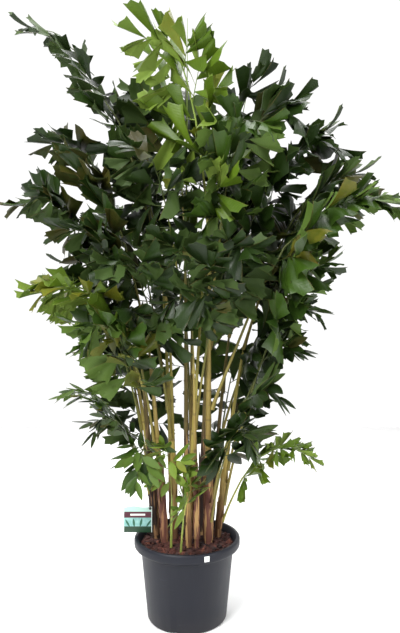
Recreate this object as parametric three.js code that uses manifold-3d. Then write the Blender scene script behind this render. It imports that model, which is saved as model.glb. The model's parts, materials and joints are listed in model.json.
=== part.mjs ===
// A clustering fishtail palm, about two metres tall, in a dark plastic nursery pot.
//
// Units are millimetres. +Z is up, the origin is the centre of the pot's underside and the front is -Y.
// The pot holds bark substrate. Canes stand in it in a clump, and each cane carries fronds, which are
// bipinnate leaves: a bare petiole that runs on as an arching rachis with side pinnae. One pinna is a
// small spray of wedge-shaped leaflets, and it stands here as one thin triangular blade of its outline.
// A blade's point is on the rachis, and its two far corners are where the spray is widest.

import * as THREE from "three";
import { mergeVertices } from "three/addons/utils/BufferGeometryUtils.js";
import Module from "manifold-3d";

const wasm = await Module();
wasm.setup();

// ---------- Driving dimensions ----------

const CLEARANCE = 0.4; // between two pieces that touch
const MERGE_TOLERANCE = 0.02; // how far off a plane a vertex may be and still be merged into it

const POT = {
  height: 270,
  rimRadius: 180,
  rimInnerRadius: 166,
  lipHeight: 27, // of the rim's upright outer face
  skirtHeight: 14, // of the cone that runs from the rim down to the body
  edgeRounding: 4, // of the rim's edges
  bodyRadius: 157, // just under the rim
  baseRadius: 134,
  baseRounding: 7,
  wall: 3.2,
  floorHeight: 9, // the raised floor's underside
  footWidth: 12, // of the ring that the pot stands on
  draft: 2, // how much the foot's walls slope
  padRadius: 30, // of the centre pad, which also meets the ground
  segments: 42,
};
const NOTCH = { count: 3, width: 50, height: 9, firstAngle: -107 };
const DRAIN = { count: 6, radius: 9, circleRadius: 82 };
const LIP_FOOT = POT.height - POT.lipHeight;
const SKIRT_FOOT = LIP_FOOT - POT.skirtHeight;
const SHOULDER = SKIRT_FOOT + 2 * POT.wall; // where the inside starts to flare
const FLOOR_TOP = POT.floorHeight + POT.wall;

const SUBSTRATE = { edgeHeight: 246, crownHeight: 253, flatShare: 0.62, segments: 24 };
const CANE_FOOT = 175; // where a cane's buried end is, above the ground

const CANE = {
  sides: 8,
  ringSpacing: 130,
  taper: 0.45, // the share of its girth that it loses on the way up
  bendOut: 0.38, // where its curve's control point is, as shares of the way out and of the way up
  bendUp: 0.55,
};
const STALK = {
  sides: 5,
  ringSpacing: 85,
  taper: 0.68,
  thinnest: 3.2, // the foot's radius for a frond with no pinnae
  girthShare: 1 / 90, // how much of its pinnae's length a stalk adds to that radius
  rootDepth: 1, // how far behind its centre line a blade's point is
};

// A blade's two far corners, along and across its spray, as shares of its length.
const BLADE = { thickness: 1.2, longCorner: [1, 0.24], shortCorner: [0.84, -0.27] };

// A pinna's angles, in degrees. `more` is what the last of its tries may add, and droop is a share.
const PINNA = {
  spreadAtFoot: 62, // from the stalk's line
  spreadAtTip: 38,
  stray: { first: 30, more: 50 },
  roll: { first: 90, more: 80 },
  droop: { least: 0.1, range: 0.3, more: 0.6 },
  endShare: 0.8, // the end pinna's length, against the longest one
  tries: 60,
  jointReach: 34, // how near its root a blade may come to its own stalk
};

const UP = new THREE.Vector3(0, 0, 1);

const COLOURS = {
  pot_plastic: [0x3f4048, 0.55],
  bark: [0x54322a, 0.95],
  cane_brown: [0x4a3024, 0.8],
  cane_pink: [0x8a6552, 0.7],
  cane_yellow: [0xb09a55, 0.6],
  leaf_dark: [0x24401a, 0.45],
  leaf_mid: [0x3c6420, 0.45],
  leaf_light: [0x6c8f2c, 0.45],
  card: [0x8fb4b4, 0.5],
  strap: [0x1a1512, 0.6],
  sticker: [0xf2f4f2, 0.6],
};

// ---------- Canes ----------
// foot: where the cane leaves the substrate's surface, top: where it ends, radius: at the foot.

const CANES = {
  cane_1: { foot: [-106, 23], top: [-152, 26, 760], radius: 15.5, slot: "cane_brown" },
  cane_2: { foot: [-72, -12], top: [-128, -34, 900], radius: 13, slot: "cane_pink" },
  cane_3: { foot: [-40, 4], top: [-62, 4, 1010], radius: 10.5, slot: "cane_yellow" },
  cane_4: { foot: [2, -62], top: [56, -34, 1150], radius: 11, slot: "cane_yellow" },
  cane_5: { foot: [34, -60], top: [24, -112, 830], radius: 9.5, slot: "cane_pink" },
  cane_6: { foot: [71, -24], top: [74, -104, 1240], radius: 15.5, slot: "cane_pink" },
  cane_7: { foot: [98, 34], top: [196, 30, 900], radius: 12, slot: "cane_yellow" },
  cane_8: { foot: [44, 42], top: [84, 84, 1180], radius: 13, slot: "cane_brown" },
  cane_9: { foot: [-2, 22], top: [-8, 40, 1300], radius: 12.5, slot: "cane_brown" },
  cane_10: { foot: [-48, 76], top: [-92, 140, 1120], radius: 12, slot: "cane_yellow" },
  cane_11: { foot: [10, 104], top: [14, 196, 1060], radius: 11.5, slot: "cane_pink" },
  cane_12: { foot: [-98, 84], top: [-214, 112, 940], radius: 11.5, slot: "cane_yellow" },
  cane_13: { foot: [76, 92], top: [152, 176, 940], radius: 11.5, slot: "cane_brown" },
  sucker_1: { foot: [-22, -100], top: [-8, -126, 380], radius: 5, slot: "leaf_light" },
  sucker_2: { foot: [-52, -62], top: [-48, -88, 430], radius: 5.5, slot: "leaf_light" },
};

// ---------- Fronds ----------
// from: height at which the petiole leaves its cane, or "top" where the frond carries the cane on.
// tip: the far end of the last leaflet. crest: height of the curve's control point, and lean: how far
// out that point is, as a share of the way to the tip. bare: share of the length without pinnae.
// pinnae: how many, and size: the length of the longest.

const FRONDS = {
  // The pale young fronds in the middle of the front.
  frond_young_crest: {
    cane: "cane_6", from: "top", tip: [-185, -260, 1880], crest: 2090, lean: 0.2,
    bare: 0.2, pinnae: 11, size: 240, slot: "leaf_light",
  },
  frond_young_right: {
    cane: "cane_6", from: 1010, tip: [270, -270, 1600], crest: 1860, lean: 0.36,
    bare: 0.42, pinnae: 9, size: 200, slot: "leaf_mid",
  },

  // Left side, from the top down.
  frond_left_crest: {
    cane: "cane_3", from: "top", tip: [-640, 110, 2100], crest: 2080, lean: 0.32,
    bare: 0.3, pinnae: 14, size: 205, slot: "leaf_dark",
  },
  frond_left_high: {
    cane: "cane_10", from: "top", tip: [-380, 190, 1900], crest: 1900, lean: 0.34,
    bare: 0.3, pinnae: 13, size: 215, slot: "leaf_dark",
  },
  frond_left_shoulder: {
    cane: "cane_2", from: "top", tip: [-545, 20, 1640], crest: 1800, lean: 0.42,
    bare: 0.34, pinnae: 13, size: 230, slot: "leaf_dark",
  },
  frond_left_reach: {
    cane: "cane_12", from: "top", tip: [-640, -20, 1400], crest: 1620, lean: 0.46,
    bare: 0.32, pinnae: 13, size: 220, slot: "leaf_dark",
  },
  frond_left_waist: {
    cane: "cane_2", from: 560, tip: [-430, -160, 1300], crest: 1510, lean: 0.42,
    bare: 0.5, pinnae: 11, size: 210, slot: "leaf_dark",
  },
  frond_left_belt: {
    cane: "cane_12", from: 610, tip: [-500, 160, 1220], crest: 1420, lean: 0.45,
    bare: 0.46, pinnae: 11, size: 205, slot: "leaf_dark",
  },
  frond_left_pale: {
    cane: "cane_1", from: "top", tip: [-520, -170, 1075], crest: 1270, lean: 0.4,
    bare: 0.34, pinnae: 11, size: 205, slot: "leaf_light",
  },
  frond_left_fall: {
    cane: "cane_1", from: 470, tip: [-340, -230, 900], crest: 1230, lean: 0.5,
    bare: 0.5, pinnae: 9, size: 190, slot: "leaf_mid",
  },
  frond_left_low: {
    cane: "cane_12", from: 400, tip: [-470, 0, 735], crest: 870, lean: 0.45,
    bare: 0.62, pinnae: 7, size: 120, slot: "leaf_mid",
  },
  frond_left_spray: {
    cane: "cane_1", from: 400, tip: [-330, -90, 600], crest: 850, lean: 0.5,
    bare: 0.55, pinnae: 7, size: 130, slot: "leaf_dark",
  },
  frond_label_side: {
    cane: "cane_1", from: 420, tip: [-235, -130, 450], crest: 760, lean: 0.55,
    bare: 0.5, pinnae: 6, size: 120, slot: "leaf_mid",
  },

  // Right side, from the top down.
  frond_right_crest: {
    cane: "cane_8", from: "top", tip: [335, 70, 1790], crest: 2090, lean: 0.42,
    bare: 0.32, pinnae: 12, size: 230, slot: "leaf_dark",
  },
  frond_right_high: {
    cane: "cane_4", from: "top", tip: [450, -60, 1640], crest: 1960, lean: 0.46,
    bare: 0.32, pinnae: 12, size: 230, slot: "leaf_dark",
  },
  frond_right_shoulder: {
    cane: "cane_8", from: 900, tip: [600, 40, 1590], crest: 1890, lean: 0.5,
    bare: 0.42, pinnae: 12, size: 230, slot: "leaf_dark",
  },
  frond_right_arm: {
    cane: "cane_7", from: "top", tip: [690, 110, 1480], crest: 1740, lean: 0.5,
    bare: 0.34, pinnae: 12, size: 230, slot: "leaf_dark",
  },
  frond_right_reach: {
    cane: "cane_6", from: 700, tip: [745, -90, 1360], crest: 1640, lean: 0.46,
    bare: 0.44, pinnae: 13, size: 235, slot: "leaf_mid",
  },
  frond_right_stalk: {
    cane: "cane_7", from: 360, tip: [500, -110, 1240], crest: 1160, lean: 0.42,
    bare: 0.7, pinnae: 7, size: 190, slot: "leaf_mid",
  },
  frond_right_waist: {
    cane: "cane_13", from: "top", tip: [560, 110, 1180], crest: 1390, lean: 0.42,
    bare: 0.34, pinnae: 11, size: 210, slot: "leaf_dark",
  },
  frond_right_belt: {
    cane: "cane_13", from: 560, tip: [505, 40, 1030], crest: 1240, lean: 0.44,
    bare: 0.46, pinnae: 10, size: 200, slot: "leaf_dark",
  },
  frond_right_hip: {
    cane: "cane_7", from: 480, tip: [420, -60, 890], crest: 1090, lean: 0.45,
    bare: 0.48, pinnae: 9, size: 175, slot: "leaf_dark",
  },
  frond_right_low: {
    cane: "cane_6", from: 400, tip: [345, -110, 725], crest: 970, lean: 0.45,
    bare: 0.52, pinnae: 8, size: 170, slot: "leaf_dark",
  },
  frond_right_fall: {
    cane: "cane_6", from: 330, tip: [225, -200, 560], crest: 850, lean: 0.55,
    bare: 0.52, pinnae: 8, size: 150, slot: "leaf_dark",
  },
  frond_right_spray: {
    cane: "cane_7", from: 300, tip: [450, -70, 525], crest: 720, lean: 0.45,
    bare: 0.42, pinnae: 8, size: 135, slot: "leaf_light",
  },

  // Front.
  frond_front_high: {
    cane: "cane_9", from: 980, tip: [-200, -250, 1560], crest: 1700, lean: 0.4,
    bare: 0.42, pinnae: 10, size: 205, slot: "leaf_dark",
  },
  frond_front_left: {
    cane: "cane_3", from: 600, tip: [-260, -300, 1150], crest: 1400, lean: 0.45,
    bare: 0.52, pinnae: 10, size: 200, slot: "leaf_dark",
  },
  frond_front_right: {
    cane: "cane_4", from: 640, tip: [230, -310, 1220], crest: 1430, lean: 0.45,
    bare: 0.52, pinnae: 10, size: 200, slot: "leaf_dark",
  },
  frond_front_middle: {
    cane: "cane_5", from: "top", tip: [-30, -330, 1190], crest: 1400, lean: 0.4,
    bare: 0.4, pinnae: 9, size: 180, slot: "leaf_dark",
  },

  // Back.
  frond_back_crest: {
    cane: "cane_9", from: "top", tip: [-150, 290, 1900], crest: 2060, lean: 0.36,
    bare: 0.3, pinnae: 12, size: 220, slot: "leaf_dark",
  },
  frond_back_high: {
    cane: "cane_11", from: "top", tip: [90, 560, 1720], crest: 1780, lean: 0.36,
    bare: 0.32, pinnae: 12, size: 230, slot: "leaf_dark",
  },
  frond_back_left: {
    cane: "cane_10", from: 680, tip: [-380, 470, 1430], crest: 1630, lean: 0.42,
    bare: 0.42, pinnae: 12, size: 225, slot: "leaf_dark",
  },
  frond_back_right: {
    cane: "cane_13", from: 740, tip: [400, 480, 1460], crest: 1630, lean: 0.42,
    bare: 0.42, pinnae: 12, size: 225, slot: "leaf_dark",
  },
  frond_back_low: {
    cane: "cane_11", from: 520, tip: [-40, 520, 1060], crest: 1320, lean: 0.45,
    bare: 0.46, pinnae: 11, size: 215, slot: "leaf_mid",
  },
  frond_back_hip_left: {
    cane: "cane_12", from: 330, tip: [-300, 380, 860], crest: 1010, lean: 0.5,
    bare: 0.42, pinnae: 9, size: 190, slot: "leaf_dark",
  },
  frond_back_hip_right: {
    cane: "cane_13", from: 340, tip: [250, 430, 850], crest: 1010, lean: 0.5,
    bare: 0.42, pinnae: 9, size: 190, slot: "leaf_dark",
  },

  // Suckers, the small new shoots at the clump's foot.
  frond_sucker_1: {
    cane: "sucker_1", from: "top", tip: [52, -172, 520], crest: 540, lean: 0.4,
    bare: 0.1, pinnae: 6, size: 90, slot: "leaf_light",
  },
  frond_sucker_2: {
    cane: "sucker_2", from: "top", tip: [-86, -176, 640], crest: 650, lean: 0.4,
    bare: 0.2, pinnae: 6, size: 110, slot: "leaf_light",
  },

  // Spears, which are new leaves still rolled up. They have no pinnae yet.
  spear_1: {
    cane: "cane_9", from: 1200, tip: [-5, 10, 2060], crest: 1700, lean: 0.5,
    bare: 1, pinnae: 0, size: 0, slot: "leaf_light",
  },
  spear_2: {
    cane: "cane_8", from: 1080, tip: [232, 90, 1900], crest: 1600, lean: 0.5,
    bare: 1, pinnae: 0, size: 0, slot: "leaf_light",
  },
};

// ---------- The care label and the sticker ----------

// The label hangs by a strap round its cane. Its hole is in its upper right corner.
const LABEL = {
  cane: "cane_1",
  width: 98,
  height: 88,
  wave: 4.5, // how far its upper edge swings up and down
  thickness: 0.8,
  foot: 276, // the height of its lower edge
  edge: -121, // the place of its right edge
  front: 5,
  holeInset: 6,
  holeRadius: 3,
};
const STRAP = { width: 6, thickness: 1.4, pegRadius: 2, headRadius: 4.6, headThickness: 1.6 };

// The sticker lies on one flat facet of the rim's face.
const STICKER = { size: 17, thickness: 0.3, facet: 2 };

// ---------- Solids ----------

function solidOf(geometry) {
  const loose = geometry.index ? geometry.toNonIndexed() : geometry.clone();
  loose.deleteAttribute("normal");
  loose.deleteAttribute("uv");
  const merged = mergeVertices(loose, 1e-4);
  return new wasm.Manifold(
    new wasm.Mesh({
      numProp: 3,
      vertProperties: merged.attributes.position.array,
      triVerts: new Uint32Array(merged.index.array),
    }),
  );
}

function geometryOf(solid) {
  const mesh = solid.asOriginal().simplify(MERGE_TOLERANCE).getMesh();
  return new THREE.BufferGeometry()
    .setAttribute("position", new THREE.BufferAttribute(mesh.vertProperties, 3))
    .setIndex(new THREE.BufferAttribute(mesh.triVerts, 1));
}

function largestOf(solid) {
  return solid.decompose().reduce((best, body) => (body.volume() > best.volume() ? body : best));
}

// A lathe's profile is given as [radius, height] pairs, and three.js turns it round Y.
function turned(profile, segments) {
  const points = profile.map(([radius, height]) => new THREE.Vector2(radius, height));
  return new THREE.LatheGeometry(points, segments).rotateX(Math.PI / 2);
}

// Wraps a lathe that stands along Z over a curve, so that a profile's height becomes a length along it.
function wrapped(lathe, curve, rings) {
  const frames = curve.computeFrenetFrames(rings, false);
  const length = curve.getLength();
  const position = lathe.getAttribute("position");
  const point = new THREE.Vector3();
  for (let i = 0; i < position.count; i += 1) {
    const share = THREE.MathUtils.clamp(position.getZ(i) / length, 0, 1);
    const ring = Math.round(share * rings);
    curve.getPointAt(share, point);
    point.addScaledVector(frames.tangents[ring], position.getZ(i) - share * length);
    point.addScaledVector(frames.normals[ring], position.getX(i));
    point.addScaledVector(frames.binormals[ring], position.getY(i));
    position.setXYZ(i, point.x, point.y, point.z);
  }
  return lathe;
}

// A tapering stalk, or with `grown` the space that clears it all round and beyond its end.
function stalk(curve, radiusAt, sides, rings, grown = 0) {
  const length = curve.getLength();
  const profile = [[0, 0]];
  for (let ring = 0; ring <= rings; ring += 1) {
    profile.push([radiusAt(ring / rings) + grown, (ring / rings) * length]);
  }
  if (grown) profile.push([radiusAt(1) + grown, length + grown]);
  profile.push([0, length + grown]);
  return solidOf(wrapped(turned(profile, sides), curve, rings));
}

// ---------- The crown's map ----------
// Space is divided into small cells, and each piece claims those that it passes through, so that no
// leaf is grown through another piece.

const CELL = 6;
const SAMPLE_STEP = 2.8; // under half a cell, so that a surface skips none of the cells that it crosses
const CURVE_FRAMES = 60; // how many directions a curve's sampling uses
const CLAIM_MARGIN = 1; // how far outside a stalk its claim reaches
const claimed = new Map();

const cellOf = (point) => point.toArray().map((value) => Math.floor(value / CELL)).join(",");

function claim(points, owner) {
  for (const point of points) {
    const cell = cellOf(point);
    if (!claimed.has(cell)) claimed.set(cell, owner);
  }
}

function isFree(points, mayTouch) {
  return points.every((point) => {
    const owner = claimed.get(cellOf(point));
    return owner === undefined || mayTouch(owner, point);
  });
}

function pointsAlong(curve, radiusAt) {
  const frames = curve.computeFrenetFrames(CURVE_FRAMES, false);
  const steps = Math.ceil(curve.getLength() / SAMPLE_STEP);
  const points = [];
  for (let step = 0; step <= steps; step += 1) {
    const share = step / steps;
    const centre = curve.getPointAt(share);
    const frame = Math.round(share * CURVE_FRAMES);
    points.push(centre);
    for (let side = 0; side < STALK.sides; side += 1) {
      const angle = (side / STALK.sides) * 2 * Math.PI;
      const radius = radiusAt(share) + CLAIM_MARGIN;
      points.push(
        centre
          .clone()
          .addScaledVector(frames.normals[frame], radius * Math.cos(angle))
          .addScaledVector(frames.binormals[frame], radius * Math.sin(angle)),
      );
    }
  }
  return points;
}

function pointsOver(root, cornerA, cornerB) {
  const steps = Math.ceil(root.distanceTo(cornerA) / SAMPLE_STEP);
  const points = [];
  for (let i = 0; i <= steps; i += 1) {
    const a = root.clone().lerp(cornerA, i / steps);
    const b = root.clone().lerp(cornerB, i / steps);
    const across = Math.max(1, Math.ceil(a.distanceTo(b) / SAMPLE_STEP));
    for (let j = 0; j <= across; j += 1) points.push(a.clone().lerp(b, j / across));
  }
  return points;
}

// A repeatable random number from 0 to 1 (mulberry32).
function randomFrom(seed) {
  let state = seed;
  return () => {
    state = (state + 0x6d2b79f5) | 0;
    let mixed = Math.imul(state ^ (state >>> 15), 1 | state);
    mixed = (mixed + Math.imul(mixed ^ (mixed >>> 7), 61 | mixed)) ^ mixed;
    return ((mixed ^ (mixed >>> 14)) >>> 0) / 4294967296;
  };
}

// ---------- The pot and what it holds ----------

function bodyRadiusAt(height) {
  return THREE.MathUtils.lerp(POT.baseRadius, POT.bodyRadius, height / SKIRT_FOOT);
}

// The inside's radius above the shoulder.
function mouthRadiusAt(height) {
  const share = (height - SHOULDER) / (POT.height - POT.edgeRounding - SHOULDER);
  return THREE.MathUtils.lerp(POT.bodyRadius - POT.wall, POT.rimInnerRadius, share);
}

function makePot() {
  const footOuter = POT.baseRadius - POT.baseRounding;
  const footInner = footOuter - POT.footWidth;
  const edge = POT.edgeRounding;
  const profile = [
    [0, 0],
    [POT.padRadius, 0],
    [POT.padRadius + POT.draft, POT.floorHeight],
    [footInner - POT.draft, POT.floorHeight],
    [footInner, 0],
    [footOuter, 0],
    [POT.baseRadius - POT.draft, POT.baseRounding / 3],
    [bodyRadiusAt(POT.baseRounding), POT.baseRounding],
    [POT.bodyRadius, SKIRT_FOOT],
    [POT.rimRadius - edge, LIP_FOOT - edge],
    [POT.rimRadius, LIP_FOOT + edge],
    [POT.rimRadius, POT.height - edge],
    [POT.rimRadius - edge, POT.height],
    [POT.rimInnerRadius + edge, POT.height],
    [POT.rimInnerRadius, POT.height - edge],
    [POT.bodyRadius - POT.wall, SHOULDER],
    [bodyRadiusAt(FLOOR_TOP) - POT.wall, FLOOR_TOP],
    [0, FLOOR_TOP],
  ];
  let solid = solidOf(turned(profile, POT.segments));
  for (let i = 0; i < NOTCH.count; i += 1) {
    const angle = THREE.MathUtils.degToRad(NOTCH.firstAngle + (360 / NOTCH.count) * i);
    const outline = new THREE.Shape();
    outline.moveTo(-NOTCH.width / 2, -1);
    outline.lineTo(NOTCH.width / 2, -1);
    outline.quadraticCurveTo(NOTCH.width / 3, NOTCH.height, 0, NOTCH.height);
    outline.quadraticCurveTo(-NOTCH.width / 3, NOTCH.height, -NOTCH.width / 2, -1);
    const cutter = new THREE.ExtrudeGeometry(outline, {
      depth: POT.footWidth * 3,
      bevelEnabled: false,
      curveSegments: 4,
    });
    cutter.rotateX(Math.PI / 2).rotateZ(Math.PI / 2);
    cutter.translate(footInner - POT.footWidth, 0, 0).rotateZ(angle);
    solid = solid.subtract(solidOf(cutter));
  }
  for (let i = 0; i < DRAIN.count; i += 1) {
    const angle = (2 * Math.PI * (i + 0.5)) / DRAIN.count;
    const cutter = new THREE.CylinderGeometry(DRAIN.radius, DRAIN.radius, 4 * POT.floorHeight, 12);
    cutter.rotateX(Math.PI / 2);
    cutter.translate(DRAIN.circleRadius * Math.cos(angle), DRAIN.circleRadius * Math.sin(angle), 0);
    solid = solid.subtract(solidOf(cutter));
  }
  return solid;
}

function makeSubstrate() {
  const gap = 2 * CLEARANCE; // twice, because its corners reach out further than the pot's flats
  const foot = FLOOR_TOP + CLEARANCE;
  const edgeRadius = mouthRadiusAt(SUBSTRATE.edgeHeight) - gap;
  const flatHeight = THREE.MathUtils.lerp(SUBSTRATE.edgeHeight, SUBSTRATE.crownHeight, 0.7);
  const profile = [
    [0, foot],
    [bodyRadiusAt(foot) - POT.wall - gap, foot],
    [POT.bodyRadius - POT.wall - gap, SHOULDER],
    [edgeRadius, SUBSTRATE.edgeHeight],
    [edgeRadius * SUBSTRATE.flatShare, flatHeight],
    [0, SUBSTRATE.crownHeight],
  ];
  return solidOf(turned(profile, SUBSTRATE.segments));
}

// ---------- Canes and their leaves ----------

function caneCurve({ foot, top }) {
  const start = new THREE.Vector3(foot[0], foot[1], CANE_FOOT);
  const end = new THREE.Vector3(...top);
  const middle = new THREE.Vector3(
    THREE.MathUtils.lerp(foot[0], top[0], CANE.bendOut),
    THREE.MathUtils.lerp(foot[1], top[1], CANE.bendOut),
    THREE.MathUtils.lerp(CANE_FOOT, top[2], CANE.bendUp),
  );
  return new THREE.QuadraticBezierCurve3(start, middle, end);
}

const caneRings = (cane) => Math.round((cane.top[2] - CANE_FOOT) / CANE.ringSpacing);

const caneRadiusAt = (cane) => (share) => cane.radius * (1 - CANE.taper * share);

const petioleRadius = (frond) => STALK.thinnest + frond.size * STALK.girthShare;

const frondRadiusAt = (frond) => (share) => petioleRadius(frond) * (1 - STALK.taper * share);

// Where on its cane a curve reaches a height.
function caneShareAt(curve, height) {
  let low = 0;
  let high = 1;
  for (let i = 0; i < 30; i += 1) {
    const middle = (low + high) / 2;
    if (curve.getPointAt(middle).z < height) low = middle;
    else high = middle;
  }
  return low;
}

// The whole line of a frond, from its cane to its last leaflet's tip, turned a little round its cane.
// One that carries its cane on starts on the cane's end, and any other starts on the cane's side.
function frondCurve(frond, turn) {
  const cane = canes.get(frond.cane);
  const onTop = frond.from === "top";
  const share = onTop ? 1 : caneShareAt(cane.curve, frond.from);
  const start = cane.curve.getPointAt(share);
  const tip = new THREE.Vector3(...frond.tip).sub(start).applyAxisAngle(UP, turn).add(start);
  if (onTop) {
    start.addScaledVector(cane.curve.getTangentAt(1), CLEARANCE);
  } else {
    const outward = tip.clone().sub(start).setZ(0).normalize();
    start.addScaledVector(outward, caneRadiusAt(CANES[frond.cane])(share));
  }
  const bend = start.clone().lerp(tip, frond.lean).setZ(frond.crest);
  return new THREE.QuadraticBezierCurve3(start, bend, tip);
}

// The first part of a Bezier curve, up to a share of its length.
function firstPart(curve, share) {
  const t = curve.getUtoTmapping(share);
  const end = curve.getPoint(t);
  return new THREE.QuadraticBezierCurve3(curve.v0, curve.v0.clone().lerp(curve.v1, t), end);
}

// A blade's far corners from its root, with its spray along `axis` and its width along `across`.
function bladeCorners(root, axis, across, length) {
  return [BLADE.longCorner, BLADE.shortCorner].map(([along, aside]) =>
    root.clone().addScaledVector(axis, along * length).addScaledVector(across, aside * length),
  );
}

function bladeSolid(root, cornerA, cornerB) {
  const along = cornerA.clone().sub(root);
  const normal = along.clone().cross(cornerB.clone().sub(root)).normalize();
  const ahead = along.clone().normalize();
  const aside = normal.clone().cross(ahead);
  const other = cornerB.clone().sub(root);
  const outline = new THREE.Shape([
    new THREE.Vector2(0, 0),
    new THREE.Vector2(along.length(), 0),
    new THREE.Vector2(other.dot(ahead), other.dot(aside)),
  ]);
  const plate = new THREE.ExtrudeGeometry(outline, { depth: BLADE.thickness, bevelEnabled: false });
  plate.translate(0, 0, -BLADE.thickness / 2);
  plate.applyMatrix4(new THREE.Matrix4().makeBasis(ahead, aside, normal).setPosition(root));
  return solidOf(plate);
}

// Where a stalk's centre line is, between two of the rings that it is built on.
function centreAt(rachis, rings, share) {
  const ring = Math.min(Math.floor(share * rings), rings - 1);
  const before = rachis.getPointAt(ring / rings);
  return before.lerp(rachis.getPointAt((ring + 1) / rings), share * rings - ring);
}

// Grows one pinna, trying other angles and then shorter ones until it is clear of everything.
function growPinna({ name, rachis, rings, end, random }, share, side, length) {
  const root = centreAt(rachis, rings, share);
  const heading = side ? rachis.getTangentAt(share) : end.clone().sub(root).normalize();
  const sideways = heading.clone().cross(UP).normalize().multiplyScalar(side || 1);
  const above = sideways.clone().cross(heading).multiplyScalar(side || 1);
  const clear = (owner, place) => owner === name && place.distanceTo(root) < PINNA.jointReach;
  const { stray, roll, droop } = PINNA;
  const openAngle = THREE.MathUtils.lerp(PINNA.spreadAtFoot, PINNA.spreadAtTip, share);
  for (let attempt = 0; attempt < PINNA.tries; attempt += 1) {
    const freedom = attempt / PINNA.tries;
    const strayed = openAngle + (stray.first + stray.more * freedom) * (random() - 0.5);
    const spread = side ? THREE.MathUtils.degToRad(strayed) : 0;
    const drooped = droop.least + droop.range * random() + droop.more * freedom * (random() - 0.4);
    const rolled = THREE.MathUtils.degToRad((roll.first + roll.more * freedom) * (random() - 0.5));
    const shorter = 1 - 0.5 * Math.max(0, freedom - 0.4);
    const axis = heading
      .clone()
      .multiplyScalar(Math.cos(spread))
      .addScaledVector(sideways, Math.sin(spread))
      .addScaledVector(UP, side ? -drooped : 0)
      .normalize();
    const across = above.clone().cross(axis).normalize().applyAxisAngle(axis, rolled);
    const point = root.clone().addScaledVector(axis, -STALK.rootDepth);
    const [a, b] = bladeCorners(point, axis, across, length * shorter);
    const cover = pointsOver(point, a, b);
    if (isFree(cover, clear)) {
      claim(cover, name);
      return bladeSolid(point, a, b);
    }
  }
  return null;
}

// The end pinna carries the rachis on, and the others take turns on its two sides, from the tip back.
function growNextPinna(plan, index) {
  const { frond } = plan;
  if (index === 0) return growPinna(plan, 1, 0, frond.size * PINNA.endShare);
  const progress = 1 - (index - 0.5) / (frond.pinnae - 1);
  const share = THREE.MathUtils.lerp(frond.bare, 0.98, progress);
  const length = frond.size * (0.72 + 0.34 * Math.sin(Math.PI * (0.15 + 0.8 * progress)));
  return growPinna(plan, share, index % 2 ? 1 : -1, length);
}

// ---------- The care label and the sticker ----------

const labelHole = () => [LABEL.edge - LABEL.holeInset, LABEL.foot + LABEL.height - LABEL.holeInset];

function makeLabel() {
  const { width, height, wave, edge, foot, thickness } = LABEL;
  const outline = new THREE.Shape();
  outline.moveTo(edge - width, foot);
  outline.lineTo(edge, foot);
  outline.lineTo(edge, foot + height);
  outline.quadraticCurveTo(edge - width / 3, foot + height - wave, edge - width / 2, foot + height);
  outline.quadraticCurveTo(edge - width * 0.75, foot + height + wave, edge - width, foot + height - wave);
  outline.holes.push(new THREE.Path().absarc(...labelHole(), LABEL.holeRadius, 0, 2 * Math.PI, true));
  const card = new THREE.ExtrudeGeometry(outline, {
    depth: thickness,
    bevelEnabled: false,
    curveSegments: 5,
  });
  return card.rotateX(Math.PI / 2).translate(0, LABEL.front, 0);
}

function pointsOverLabel() {
  const right = LABEL.edge;
  const left = right - LABEL.width;
  const top = LABEL.foot + LABEL.height;
  const [a, b, c, d] = [
    new THREE.Vector3(left, LABEL.front, LABEL.foot),
    new THREE.Vector3(right, LABEL.front, LABEL.foot),
    new THREE.Vector3(right, LABEL.front, top),
    new THREE.Vector3(left, LABEL.front, top),
  ];
  return [...pointsOver(a, b, c), ...pointsOver(a, c, d)];
}

// A band round the cane, with a peg that goes forward through the label's hole and a head that holds it.
function makeStrap() {
  const [pegX, pegZ] = labelHole();
  const { curve } = canes.get(LABEL.cane);
  const share = caneShareAt(curve, pegZ);
  const centre = curve.getPointAt(share);
  const inner = caneRadiusAt(CANES[LABEL.cane])(share) + CLEARANCE;
  const outer = inner + STRAP.thickness;
  const half = STRAP.width / 2;
  const band = turned([[inner, -half], [outer, -half], [outer, half], [inner, half], [inner, -half]], 16);
  band.translate(centre.x, centre.y, pegZ);
  const headBack = LABEL.front - LABEL.thickness - CLEARANCE;
  const pegLength = centre.y - inner * 0.5 - headBack;
  const peg = new THREE.CylinderGeometry(STRAP.pegRadius, STRAP.pegRadius, pegLength, 8);
  peg.translate(pegX, headBack + pegLength / 2, pegZ);
  const head = new THREE.CylinderGeometry(STRAP.headRadius, STRAP.headRadius, STRAP.headThickness, 12);
  head.translate(pegX, headBack - STRAP.headThickness / 2 + 0.1, pegZ);
  const cane = canes.get(LABEL.cane).cutter;
  return solidOf(band).add(solidOf(peg).add(solidOf(head)).subtract(cane));
}

function makeSticker() {
  const facetAngle = (2 * Math.PI) / POT.segments;
  const angle = (STICKER.facet + 0.5) * facetAngle;
  const facetDistance = POT.rimRadius * Math.cos(facetAngle / 2);
  const sticker = new THREE.BoxGeometry(STICKER.size, STICKER.thickness, STICKER.size);
  sticker.translate(0, -facetDistance - CLEARANCE, POT.height - POT.lipHeight / 2 - 1);
  return sticker.rotateZ(angle);
}

// ---------- Assembly ----------

const palm = new THREE.Group();

function add(name, geometry, slot) {
  const [color, roughness] = COLOURS[slot];
  const mesh = new THREE.Mesh(
    geometry,
    new THREE.MeshStandardMaterial({ name: slot, color, roughness, metalness: 0 }),
  );
  mesh.name = name;
  palm.add(mesh);
  return mesh;
}

add("pot", geometryOf(makePot()), "pot_plastic");

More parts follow.
